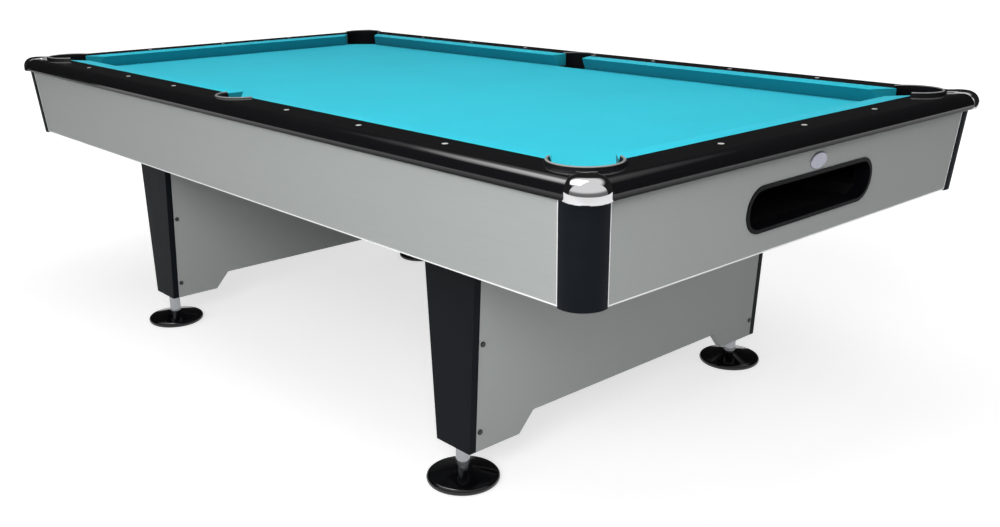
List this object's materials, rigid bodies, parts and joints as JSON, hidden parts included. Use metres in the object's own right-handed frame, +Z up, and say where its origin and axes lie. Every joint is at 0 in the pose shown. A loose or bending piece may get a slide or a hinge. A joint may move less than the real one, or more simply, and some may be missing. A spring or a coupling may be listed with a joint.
{
  "type": "pool table",
  "caption": "Pool table with a cloth bed, rubber cushions, lipped pockets, gloss rails with chrome corner caps, leaning aprons, a ball return, box pedestals and levelling feet.",
  "frame": {"origin": "on the floor under the middle of the table", "axes": "+X along the table towards the foot end with the ball return, +Y towards the far long side, +Z up"},
  "size_m": [2.5204, 1.4028, 0.816],
  "materials": {
    "slate": "honed grey slate",
    "bed_cloth": "worsted teal cloth, stretched flat",
    "cushion_cloth": "teal cloth over rubber",
    "rail_black": "gloss black lacquer",
    "sight_white": "white inlay",
    "zinc_steel": "zinc plated",
    "bolt_black": "black oxide",
    "liner_black": "satin black moulding",
    "cap_chrome": "polished chrome",
    "post_black": "matte black",
    "silver_laminate": "satin silver laminate on board",
    "trim_aluminium": "bright strip",
    "bezel_black": "satin black moulding",
    "badge_silver": "plain satin oval",
    "return_black": "matte black",
    "frame_wood": "plain timber",
    "leg_black": "satin black laminate on board",
    "stem_chrome": "polished",
    "pad_black": "gloss black"
  },
  "bodies": {
    "table": {"slate_head": "slate", "slate_centre": "slate", "slate_foot": "slate", "bed_cloth": "bed_cloth", "cushion_head": "cushion_cloth", "cushion_foot": "cushion_cloth", "cushion_near_head": "cushion_cloth", "cushion_far_head": "cushion_cloth", "cushion_near_foot": "cushion_cloth", "cushion_far_foot": "cushion_cloth", "side_rail_near": "rail_black", "side_rail_far": "rail_black", "end_rail_head": "rail_black", "end_rail_foot": "rail_black", "rail_sights": "sight_white", "rail_bolts": "zinc_steel", "pedestal_bolts": "zinc_steel", "foot_inserts": "zinc_steel", "panel_bolts": "bolt_black", "pocket_liner_side_near": "liner_black", "pocket_liner_side_far": "liner_black", "pocket_liner_head_near": "liner_black", "pocket_liner_head_far": "liner_black", "pocket_liner_foot_near": "liner_black", "pocket_liner_foot_far": "liner_black", "corner_caps": "cap_chrome", "corner_post_head_near": "post_black", "corner_post_head_far": "post_black", "corner_post_foot_near": "post_black", "corner_post_foot_far": "post_black", "apron_near": "silver_laminate", "apron_far": "silver_laminate", "apron_head": "silver_laminate", "apron_foot": "silver_laminate", "head_pedestal_outer_panel": "silver_laminate", "head_pedestal_inner_panel": "silver_laminate", "foot_pedestal_outer_panel": "silver_laminate", "foot_pedestal_inner_panel": "silver_laminate", "apron_edge_trims": "trim_aluminium", "return_bezel": "bezel_black", "badge": "badge_silver", "ball_box": "return_black", "gutter_near": "return_black", "gutter_far": "return_black", "slate_bearer_near": "frame_wood", "slate_bearer_far": "frame_wood", "cross_beam_head": "frame_wood", "cross_beam_foot": "frame_wood", "leg_head_near": "leg_black", "leg_head_far": "leg_black", "leg_foot_near": "leg_black", "leg_foot_far": "leg_black"},
    "stem_head_near": {"foot_stem_head_near": "stem_chrome"},
    "pad_head_near": {"foot_pad_head_near": "pad_black"},
    "stem_head_far": {"foot_stem_head_far": "stem_chrome"},
    "pad_head_far": {"foot_pad_head_far": "pad_black"},
    "stem_foot_near": {"foot_stem_foot_near": "stem_chrome"},
    "pad_foot_near": {"foot_pad_foot_near": "pad_black"},
    "stem_foot_far": {"foot_stem_foot_far": "stem_chrome"},
    "pad_foot_far": {"foot_pad_foot_far": "pad_black"}
  },
  "joints": [
    {"name": "level_head_near", "type": "slide", "parent": "table", "child": "stem_head_near", "axis": [0, 0, 1], "range_m": [-0.025, 0.02]},
    {"name": "turn_head_near", "type": "hinge", "parent": "stem_head_near", "child": "pad_head_near", "pos_m": [-0.709, -0.504, 0.06], "axis": [0, 0, 1], "range_deg": [-3000, 2400]},
    {"name": "level_head_far", "type": "slide", "parent": "table", "child": "stem_head_far", "axis": [0, 0, 1], "range_m": [-0.025, 0.02]},
    {"name": "turn_head_far", "type": "hinge", "parent": "stem_head_far", "child": "pad_head_far", "pos_m": [-0.709, 0.504, 0.06], "axis": [0, 0, 1], "range_deg": [-3000, 2400]},
    {"name": "level_foot_near", "type": "slide", "parent": "table", "child": "stem_foot_near", "axis": [0, 0, 1], "range_m": [-0.025, 0.02]},
    {"name": "turn_foot_near", "type": "hinge", "parent": "stem_foot_near", "child": "pad_foot_near", "pos_m": [0.709, -0.504, 0.06], "axis": [0, 0, 1], "range_deg": [-3000, 2400]},
    {"name": "level_foot_far", "type": "slide", "parent": "table", "child": "stem_foot_far", "axis": [0, 0, 1], "range_m": [-0.025, 0.02]},
    {"name": "turn_foot_far", "type": "hinge", "parent": "stem_foot_far", "child": "pad_foot_far", "pos_m": [0.709, 0.504, 0.06], "axis": [0, 0, 1], "range_deg": [-3000, 2400]}
  ],
  "couplings": [
    {"joint": "level_head_near", "follows": "turn_head_near", "m_per_rad": 0.00047746},
    {"joint": "level_head_far", "follows": "turn_head_far", "m_per_rad": 0.00047746},
    {"joint": "level_foot_near", "follows": "turn_foot_near", "m_per_rad": 0.00047746},
    {"joint": "level_foot_far", "follows": "turn_foot_far", "m_per_rad": 0.00047746}
  ]
}
